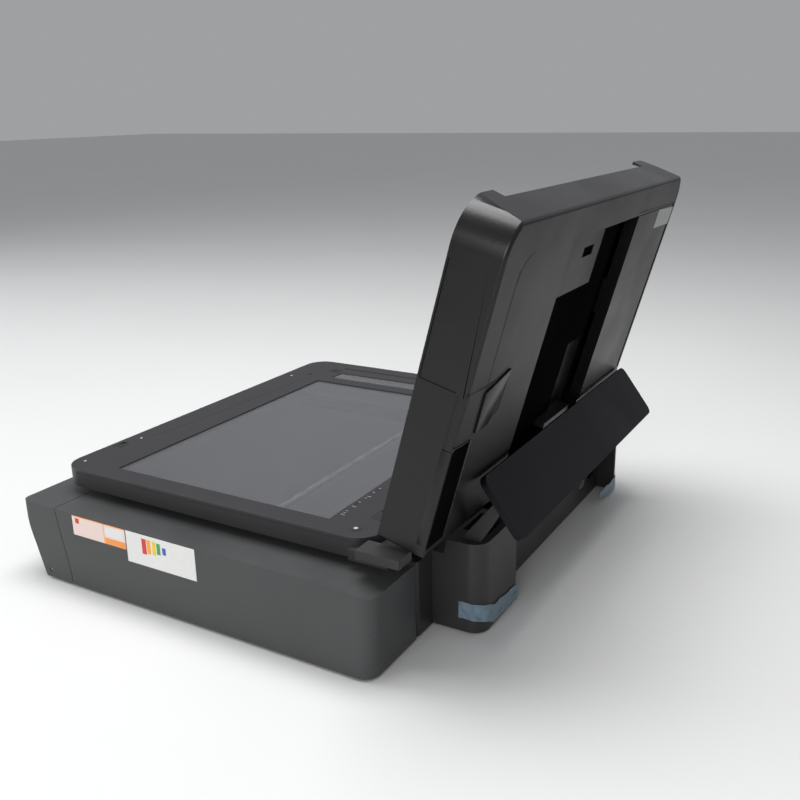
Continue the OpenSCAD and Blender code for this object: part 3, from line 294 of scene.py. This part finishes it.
def finer(node, name, body, width, mat, big=None, big_width=0.0):
    """A copy of a CAD solid with rounded edges, which stands for it.

    big(a, b) picks, by their two ends, the edges that get the wide round.
    """
    bm = bmesh.new()
    bm.from_mesh(NODES[node].data)
    bmesh.ops.remove_doubles(bm, verts=bm.verts[:], dist=WELD)
    bmesh.ops.dissolve_limit(bm, angle_limit=FLAT, verts=bm.verts[:], edges=bm.edges[:])
    thin = bm.edges.layers.int.new("thin")
    edges = sharp_edges(bm.edges)
    if big:
        wide = [e for e in edges if big(e.verts[0].co, e.verts[1].co)]
        chosen = set(wide)
        for e in edges:
            e[thin] = 0 if e in chosen else 1
        rounded(bm, big_width, segments=5, edges=wide, clamp=False)
        thin = bm.edges.layers.int["thin"]
        edges = sharp_edges(e for e in bm.edges if e[thin])
    rounded(bm, width, edges=edges)
    for f in bm.faces:
        f.material_index = 0
    obj = put(name, bm, mat, body)
    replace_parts(obj, node)
    weighted = obj.modifiers.new("weighted", "WEIGHTED_NORMAL")
    weighted.keep_sharp = True
    return obj


def cube_at(bm, a, b):
    """Adds a box between two corners to a bmesh."""
    a, b = Vector(a), Vector(b)
    made = bmesh.ops.create_cube(bm, size=1.0)["verts"]
    bmesh.ops.scale(bm, vec=b - a, verts=made)
    bmesh.ops.translate(bm, vec=(a + b) / 2, verts=made)


def raise_faces(bm, faces, height):
    """Extrudes flat faces upward by this height, in metres, and keeps them as the underside."""
    made = bmesh.ops.extrude_face_region(bm, geom=faces, use_keep_orig=True)["geom"]
    top = [v for v in made if isinstance(v, bmesh.types.BMVert)]
    bmesh.ops.translate(bm, vec=(0, 0, height), verts=top)
    bmesh.ops.recalc_face_normals(bm, faces=bm.faces[:])


def turned(bm, matrix):
    """Moves everything in a bmesh by a matrix."""
    bmesh.ops.transform(bm, matrix=matrix, verts=bm.verts[:])


def slab(name, points, low, high, mat, body, width=0.0, turn=None):
    """A flat piece with this outline, from height low to high, all in millimetres, with rounded edges."""
    bm = bmesh.new()
    face = bm.faces.new([bm.verts.new((x * MM, y * MM, low * MM)) for x, y in points])
    raise_faces(bm, [face], (high - low) * MM)
    if width:
        rounded(bm, width * MM)
    if turn:
        turned(bm, turn)
    return put(name, bm, mat, body)


def seam_line(name, points, width, low, high, mat, body, turn=None):
    """A narrow strip along a chain of points, in millimetres, such as the joint between two shells."""
    bm = bmesh.new()
    verts = [bm.verts.new((x * MM, y * MM, low * MM)) for x, y in points]
    edges = [bm.edges.new(pair) for pair in zip(verts, verts[1:])]
    along = (Vector(points[-1]) - Vector(points[0])).normalized()
    across = Vector((-along.y, along.x)) * width * MM
    wide = bmesh.ops.extrude_edge_only(bm, edges=edges)["geom"]
    bmesh.ops.translate(bm, vec=(across.x, across.y, 0),
                        verts=[v for v in wide if isinstance(v, bmesh.types.BMVert)])
    raise_faces(bm, bm.faces[:], (high - low) * MM)
    if turn:
        turned(bm, turn)
    return put(name, bm, mat, body)


def box2(x0, y0, x1, y1):
    """The outline of a rectangle between two corners."""
    return [(x0, y0), (x1, y0), (x1, y1), (x0, y1)]


def paint(obj, mat, test, back):
    """Gives the faces that pass the test a second material.

    test(c, n) gets a face's centre, in millimetres, and its normal, both after the matrix back.
    """
    obj.data.materials.append(mat)
    last = len(obj.data.materials) - 1
    for f in obj.data.polygons:
        if test(back @ f.center / MM, back.to_3x3() @ f.normal):
            f.material_index = last


# ---- camera and light ----

AZIMUTH, PITCH, ROLL = radians(120.39), radians(17.66), radians(-1.07)
LENS, SENSOR = 41.44, 36
CAMERA_AT = Vector((GX1 + 0.5131, GY0 + 0.5822, GZ + 0.2911))
WORLD_COLOUR, WORLD_STRENGTH = (0.62, 0.63, 0.65, 1), 0.56
FLOOR_REACH = 12

# name, place, what it points at, width and height in metres, watts, tint
LIGHTS = (
    ("overhead", (-0.04, -0.02, 1.65), (0.02, 0.02, 0.1), (1.05, 0.85), 25, (1, 1, 1)),
    ("left_window", (0.4, -1.9, 1.1), (0.1, 0, 0.15), (1.2, 1.0), 18, (0.97, 0.99, 1)),
    ("beside", (1.9, 0.35, 0.75), (0.1, 0, 0.1), (1.2, 0.9), 15, (1, 1, 1)),
)


def make_camera():
    """A camera that looks down and across the machine's open side, rolled a little."""
    ahead = Vector((-sin(AZIMUTH) * cos(PITCH), cos(AZIMUTH) * cos(PITCH), -sin(PITCH)))
    level = ahead.cross(Vector((0, 0, 1))).normalized()
    up = level.cross(ahead)
    data = bpy.data.cameras.new("camera")
    data.sensor_width = SENSOR
    data.lens = LENS
    data.clip_start = 0.01
    cam = bpy.data.objects.new("camera", data)
    turn = Matrix((cos(ROLL) * level + sin(ROLL) * up, cos(ROLL) * up - sin(ROLL) * level, -ahead))
    cam.matrix_world = Matrix.Translation(CAMERA_AT) @ turn.transposed().to_4x4()
    SCENE.collection.objects.link(cam)
    SCENE.camera = cam


def area_light(name, at, to, size, power, tint):
    """A soft rectangular light that points at a place."""
    data = bpy.data.lights.new(name, "AREA")
    data.shape = "RECTANGLE"
    data.size, data.size_y = size
    data.energy = power
    data.color = tint
    lamp = bpy.data.objects.new(name, data)
    at, to = Vector(at), Vector(to)
    lamp.matrix_world = Matrix.Translation(at) @ (to - at).to_track_quat("-Z", "Y").to_matrix().to_4x4()
    SCENE.collection.objects.link(lamp)


def make_floor():
    pale = Nodes("floor_pale")
    pale.bsdf.inputs["Roughness"].default_value = 0.55
    pale.colour(pale.noise(3, detail=2.0), [(0.0, (0.66, 0.66, 0.655)), (1.0, (0.70, 0.70, 0.695))])
    bm = bmesh.new()
    bmesh.ops.create_grid(bm, x_segments=1, y_segments=1, size=FLOOR_REACH)
    mesh = bpy.data.meshes.new("floor")
    bm.to_mesh(mesh)
    bm.free()
    floor = bpy.data.objects.new("floor", mesh)
    mesh.materials.append(pale.mat)
    SCENE.collection.objects.link(floor)


def make_light():
    world = bpy.data.worlds.new("studio")
    world.use_nodes = True
    background = world.node_tree.nodes["Background"]
    background.inputs["Color"].default_value = WORLD_COLOUR
    background.inputs["Strength"].default_value = WORLD_STRENGTH
    SCENE.world = world
    for light in LIGHTS:
        area_light(*light)
    SCENE.view_settings.view_transform = "Standard"
    SCENE.view_settings.look = "None"


make_camera()
make_floor()
make_light()


# ---- lid ----

RIM_TOP = 0.0465                                            # the outer face starts here, closed, in metres
PAPER_WELL = (-0.2015, 0.0685, -0.2325, -0.0415)            # x0, x1, y0, y1
SIDE_STEP = (0.1155, 0.1575, -0.2255)                       # x0, x1, y0
WELL_FLOOR = (-86, 70, -234, -40, 34, 47)                   # x0, x1, y0, y1, z0, z1 in millimetres


def lid_rim(a, b):
    """Edges round the lid's outer face, apart from those of the paper well and the step beside it."""
    x0, x1, y0, y1 = PAPER_WELL
    for v in (LID_BACK @ a, LID_BACK @ b):
        if v.z < RIM_TOP or (x0 < v.x < x1 and y0 < v.y < y1):
            return False
        if SIDE_STEP[0] < v.x < SIDE_STEP[1] and v.y > SIDE_STEP[2]:
            return False
    return True


def faces_out(c, n):
    return n.z > 0.9


def in_shaded_well(c, n):
    x0, x1, y0, y1, z0, z1 = WELL_FLOOR
    return x0 < c.x < x1 and y0 < c.y < y1 and z0 < c.z < z1


lid_shell = finer("lid_case", "lid_shell", "lid", 0.0007, LIDMAT, lid_rim, 0.0025)
# faces that point out get the darker copy of the lid plastic: painted shade
paint(lid_shell, LID_FACE_SHADED, faces_out, LID_BACK)
# the paper well's floor turns black without gloss: painted shade in the recess
paint(lid_shell, BLACK_AND_SHADE, in_shaded_well, LID_BACK)
finer("feeder_cover", "feeder_lid", "feeder_cover", 0.0009, LID_FACE_SHADED)
finer("document_flap", "flap", "document_flap", 0.0005, LID_FACE_SHADED)
finer("feeder_guide", "guide", "feeder_guide", 0.0005, SMOOTH)
finer("lid_liner", "liner", "lid", 0.0004, SMOOTH)
finer("lid_pad", "pad", "lid", 0.0012, WHITE)

# ---- what lies on the lid's outer face, in its closed frame, in millimetres ----

FACE = 47.5                     # height of the outer face
NEAR, FAR = 185.2, -206.8       # the lid's two sides
SUNK = -0.1                     # how far thin things reach into what they lie on
LINE = 0.06                     # how far a joint line stands out

JOINT_LONG = [(156.2, -112), (156.2, -208), (155.6, -216), (153.4, -223), (149, -229), (143, -232.5),
              (137, -233.6)]
JOINT_CROSS = [(184.6, -146.5), (184.6, -145.6), (142, -142.6), (139, -142.2), (136.5, -143.4),
               (140, -145.4)]
JOINT_FAR = [(-86, -234.2), (-204, -232.4)]
HINGE_COVER = [(184.4, -28), (184.4, -103.5), (181.5, -106), (161.5, -104.4), (161.5, -28)]
HINGE_NOTCH = [(184.8, -108), (184.8, -106.6), (172, -105.4), (163, -106.2), (163, -107), (173, -106.6)]
HINGE_FIN = [(157, -109.5), (157, -140), (122, -148.5), (130, -128), (138.5, -110.5)]
FIN_SHADOW = [(129.4, -127), (121.4, -149.2), (119.4, -146), (122, -116), (137.2, -110.2)]
STICKER = [(-151, -230.6), (-200, -228.4), (-199.5, -212.2), (-151.6, -213.4)]


def on_face(name, points, low, high, mat, width=0.0):
    """A flat piece on the lid's outer face."""
    slab(name, points, FACE + low, FACE + high, mat, "lid", width, LID_TURN)


def face_line(name, points, width):
    """A dark joint line on the lid's outer face."""
    seam_line(name, points, width, FACE + SUNK, FACE + LINE, GROOVE_AND_SHADE, "lid", LID_TURN)


def side_block(name, corner_a, corner_b, mat, width=0.0):
    """A block at the lid's side, between two corners."""
    bm = bmesh.new()
    cube_at(bm, Vector(corner_a) * MM, Vector(corner_b) * MM)
    if width:
        rounded(bm, width * MM)
    turned(bm, LID_TURN)
    put(name, bm, mat, "lid")


face_line("lid_joint_long", JOINT_LONG, 0.9)
on_face("lid_joint_cross", JOINT_CROSS, SUNK, LINE, GROOVE_AND_SHADE)
face_line("lid_joint_far", JOINT_FAR, 0.7)
# stepped cover over the near hinge arm, black and without gloss as painted shade, its edge and its notched
# end, and the fin beside it with its painted shadow
on_face("shaded_hinge_cover_near", HINGE_COVER, SUNK, 0.3, BLACK_AND_SHADE, 0.12)
on_face("hinge_cover_edge", box2(159.6, -106, 161.2, -28), SUNK, 0.9, LIDMAT, 0.3)
on_face("hinge_cover_notch", HINGE_NOTCH, SUNK, 0.45, GROOVE_AND_SHADE)
on_face("hinge_fin", HINGE_FIN, SUNK, 1.5, LIDMAT, 0.5)
on_face("hinge_fin_shadow", FIN_SHADOW, SUNK, 0.08, GROOVE_AND_SHADE)

# at each side a raised cheek over the hinge arm, and the dark gap beyond its end
for side, x0, x1, gap0, gap1 in (("near", NEAR, NEAR + 0.8, NEAR, NEAR + 0.2),
                                 ("far", FAR - 0.8, FAR, FAR - 0.6, FAR)):
    side_block("hinge_cheek_" + side, (x0, -104, 39.6), (x1, -30, 46.8), LIDMAT, 0.4)
    side_block("side_gap_" + side, (gap0, -142.5, 39.3), (gap1, -104.5, 40.9), GROOVE_AND_SHADE)
on_face("blank_sticker", STICKER, 0.0, 0.12, LABEL_GREY)

# ---- scanner ----

finer("scanner_case", "scanner_shell", "printer", 0.0008, CASE)
finer("scanner_bezel", "scanner_deck", "printer", 0.0005, DECK)
finer("scan_bar", "scan_carrier", "scan_bar", 0.0006, BLACK_AND_SHADE)

# ---- small things on the scanner's deck, in millimetres, before SHIFT ----

SLOT_PITCH = 1.4
TICKS = (153, 149.5, 146, 137, 128, 119, 115.5, 107, 98)    # each third one is longer
STOPS = ((166.5, -192.2), (100.2, -191.3), (-134.6, -191.2))
SCREW = (168.9, 90.9)


def on_deck(name, points, high=0.05, low=SUNK, mat=GROOVE_AND_SHADE):
    """A flat piece on the deck."""
    moved = [(x, y + SHIFT) for x, y in points]
    slab(name, moved, DECK_Z + low, DECK_Z + high, mat, "printer")


on_deck("latch_pocket", [(128.5, -201), (127.5, -189), (116, -190.5), (114.5, -194)])
on_deck("arm_notch", [(131, 90), (148, 90), (151.5, 101), (149, 102)])
ledge = [(x, y + SHIFT) for x, y in ((97, -187.6), (60, -180.6), (-138, -170.6))]
seam_line("deck_ledge", ledge, 0.5, DECK_Z + SUNK, DECK_Z + 0.04, GROOVE_AND_SHADE, "printer")
on_deck("ledge_slot", [(-146, -177), (-152, -177), (-152, -173), (-146, -173)])
on_deck("strip_groove", box2(-189, -152, -184.5, 62))
for i in range(9):
    on_deck("strip_slot%d" % i, box2(-180, -163 + SLOT_PITCH * i, -168, -162.3 + SLOT_PITCH * i))
for i, x in enumerate(TICKS):
    on_deck("page_tick%d" % i, box2(x, 67.2, x + 0.7, 69.4 if i % 3 else 71), 0.04, -0.05, LABEL_GREY)


def button_round(name, at, radius, high, mat, dish=0.0):
    """A low round pad on the deck with a rounded rim and, where dish is set, a sunken middle."""
    bm = bmesh.new()
    bmesh.ops.create_circle(bm, cap_ends=True, segments=28, radius=radius * MM)
    raise_faces(bm, bm.faces[:], (high - SUNK) * MM)
    if dish:
        top = max(bm.faces, key=lambda f: f.calc_center_median().z)
        bmesh.ops.inset_individual(bm, faces=[top], thickness=radius * 0.35 * MM, depth=-dish * MM)
    rounded(bm, 0.1 * MM)
    bmesh.ops.translate(bm, vec=Vector((at[0], at[1] + SHIFT, DECK_Z + SUNK)) * MM, verts=bm.verts[:])
    put(name, bm, mat, "printer")


button_round("deck_screw", SCREW, 4.6, 0.35, DECK, 0.3)
button_round("deck_screw_head", SCREW, 1.7, 0.3, GREY)
for i, at in enumerate(STOPS):
    button_round("deck_stop%d" % i, at, 1.2, 0.5, GREY)

# ---- body, tray, support and panel ----


def support_corner(a, b):
    """The short edges through the folded panel's thickness at its four corners."""
    from_end = min(abs(a.x - end.x) for end in SUPPORT_BOX)
    level = abs(a.x - b.x) < 0.01 * MM
    through = (b - a).length < 8 * MM and abs((b - a).y) > 3 * MM
    return level and from_end < 0.2 * MM and through


finer("body_shell", "body_skin", "printer", 0.0007, CASE)
finer("ink_box", "ink_box_skin", "printer", 0.0009, BOXMAT)
finer("ink_box_cover", "ink_cover_skin", "ink_cover", 0.0009, BOXMAT)
finer("paper_support", "support_panel", "support", 0.0008, SUPPORT, support_corner, 0.0065)
finer("edge_guide", "slot_guide", "edge_guide", 0.0005, SMOOTH)
finer("control_panel", "front_panel", "panel", 0.0006, PANEL)
for key in ("power", "menu", "ok", "stop", "start"):
    finer("button_" + key, key + "_key", "button_" + key, 0.0008, GREY)
finer("output_tray", "tray", "tray", 0.0006, SMOOTH)
finer("tray_extension", "extension", "extension", 0.0004, SMOOTH)
finer("sheet_stop", "stop", "sheet_stop", 0.0003, SMOOTH)
finer("ac_inlet", "mains_socket", "printer", 0.0004, SMOOTH)

# ---- labels on the side of the ink box, in millimetres ----

LABEL_LOW, LABEL_HIGH = 0.02, 0.18      # from the box's side to a label's two faces
PRINT = 0.04                            # how far what is printed stands out from its label
LABELS = (
    ("notice_pale", -158, -98, 50.5, 68, LABEL_PALE, 0),
    ("notice_rule", -158, -98, 67.2, 68, LABEL_ORANGE, PRINT),
    ("notice_fold", -122.2, -121.4, 50.5, 68, LABEL_ORANGE, PRINT),
    ("notice_band", -121, -98, 50.5, 56.2, LABEL_ORANGE, PRINT),
    ("notice_window", -119.6, -100.2, 57.5, 66.2, LABEL_WHITE, PRINT),
    ("notice_mark", -154.5, -150, 61.5, 66, LABEL_RED, PRINT),
    ("colour_card", -97, -25, 41, 68, LABEL_WHITE, 0),
    ("card_red", -80, -75.2, 51.5, 64.8, LABEL_RED, PRINT),
    ("card_orange", -74.6, -70.6, 52.6, 64.8, LABEL_AMBER, PRINT),
    ("card_yellow", -69, -65, 53, 64.6, LABEL_YELLOW, PRINT),
    ("card_green", -64.2, -60.4, 54.4, 64, LABEL_GREEN, PRINT),
    ("card_blue", -58.4, -54.6, 55.4, 61.5, LABEL_BLUE, PRINT),
)


def label(name, y0, y1, z0, z1, mat, lift):
    """A thin rectangle on the side of the ink box."""
    side = TANK[1].x / MM + lift
    corner_a = Vector((side + LABEL_LOW, y0 + SHIFT, z0)) * MM
    corner_b = Vector((side + LABEL_HIGH, y1 + SHIFT, z1)) * MM
    bm = bmesh.new()
    cube_at(bm, corner_a, corner_b)
    rounded(bm, 0.00004, 1)
    put(name, bm, mat, "printer")


for row in LABELS:
    label(*row)

# ---- packing tapes, crumpled film that wraps round the rear towers, in millimetres ----

TOWER_SIDE, TOWER_ROUND = 125.2, 13         # near tower: its side and the radius of its corner
FAR_SIDE, FAR_ROUND = BODY[0].x / MM, 24    # far tower, likewise
FILM_THICK = 0.08


def film(name, route, length, low, high, seed):
    """A strip of film: route(s) gives a point and its outward direction in plan after s millimetres."""
    bm = bmesh.new()
    bmesh.ops.create_grid(bm, x_segments=64, y_segments=8, size=0.5)
    for v in bm.verts:
        t, h = v.co.x + 0.5, v.co.y + 0.5
        at, out = route(t * length)
        swell = sin(t * 41 + seed + h * 3) * sin(h * 5.2 + t * 9 + seed)
        ripple = 0.34 + 0.24 * swell + 0.14 * sin(t * 97 + h * 13)
        edge = 0.5 * sin(t * 23 + seed) if h in (0.0, 1.0) else 0.0
        z = low(t) + (high(t) - low(t)) * h + edge
        v.co = (at + out * ripple).to_3d() * MM + Vector((0, 0, z * MM))
    bmesh.ops.recalc_face_normals(bm, faces=bm.faces[:])
    bmesh.ops.solidify(bm, geom=bm.faces[:], thickness=FILM_THICK * MM)
    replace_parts(put(name, bm, FILM, "printer", 60), "packing_tapes")


def round_route(centre, radius, begin, end, before):
    """Straight for before millimetres, then round the arc about centre from begin to end, then straight."""
    sign = 1 if end > begin else -1
    sweep = abs(end - begin)

    def route(s):
        a = begin + sign * min(max(s - before, 0.0) / radius, sweep)
        out = Vector((cos(a), sin(a)))
        straight = min(s - before, 0.0) + max(0.0, s - before - radius * sweep)
        return Vector(centre) + out * radius + sign * Vector((-sin(a), cos(a))) * straight, out
    return route


def near_slope(t):
    """How far down the near tape has come, from 0 to 1, and how far on it is past that."""
    return min(max(t - 0.2, 0) / 0.25, 1), max(t - 0.45, 0)


def near_low(t):
    drop, past = near_slope(t)
    return 13.0 - 8.5 * drop - 3 * past


def near_high(t):
    drop, past = near_slope(t)
    return 27.0 - 7 * drop - 7.5 * past


def far_low(t):
    return 3.0 + 7.5 * max(t - 0.72, 0) / 0.28


def far_high(t):
    return 14.5 + 2.5 * max(t - 0.6, 0)


near_centre = (TOWER_SIDE - TOWER_ROUND, REAR - TOWER_ROUND)
film("tape_near", round_route(near_centre, TOWER_ROUND, 0.0, pi / 2, 7.0), 78.0, near_low, near_high, 0.4)
far_centre = (FAR_SIDE + FAR_ROUND, REAR - FAR_ROUND)
film("tape_far", round_route(far_centre, FAR_ROUND, pi, pi / 2, 9.0), 93.0, far_low, far_high, 2.1)
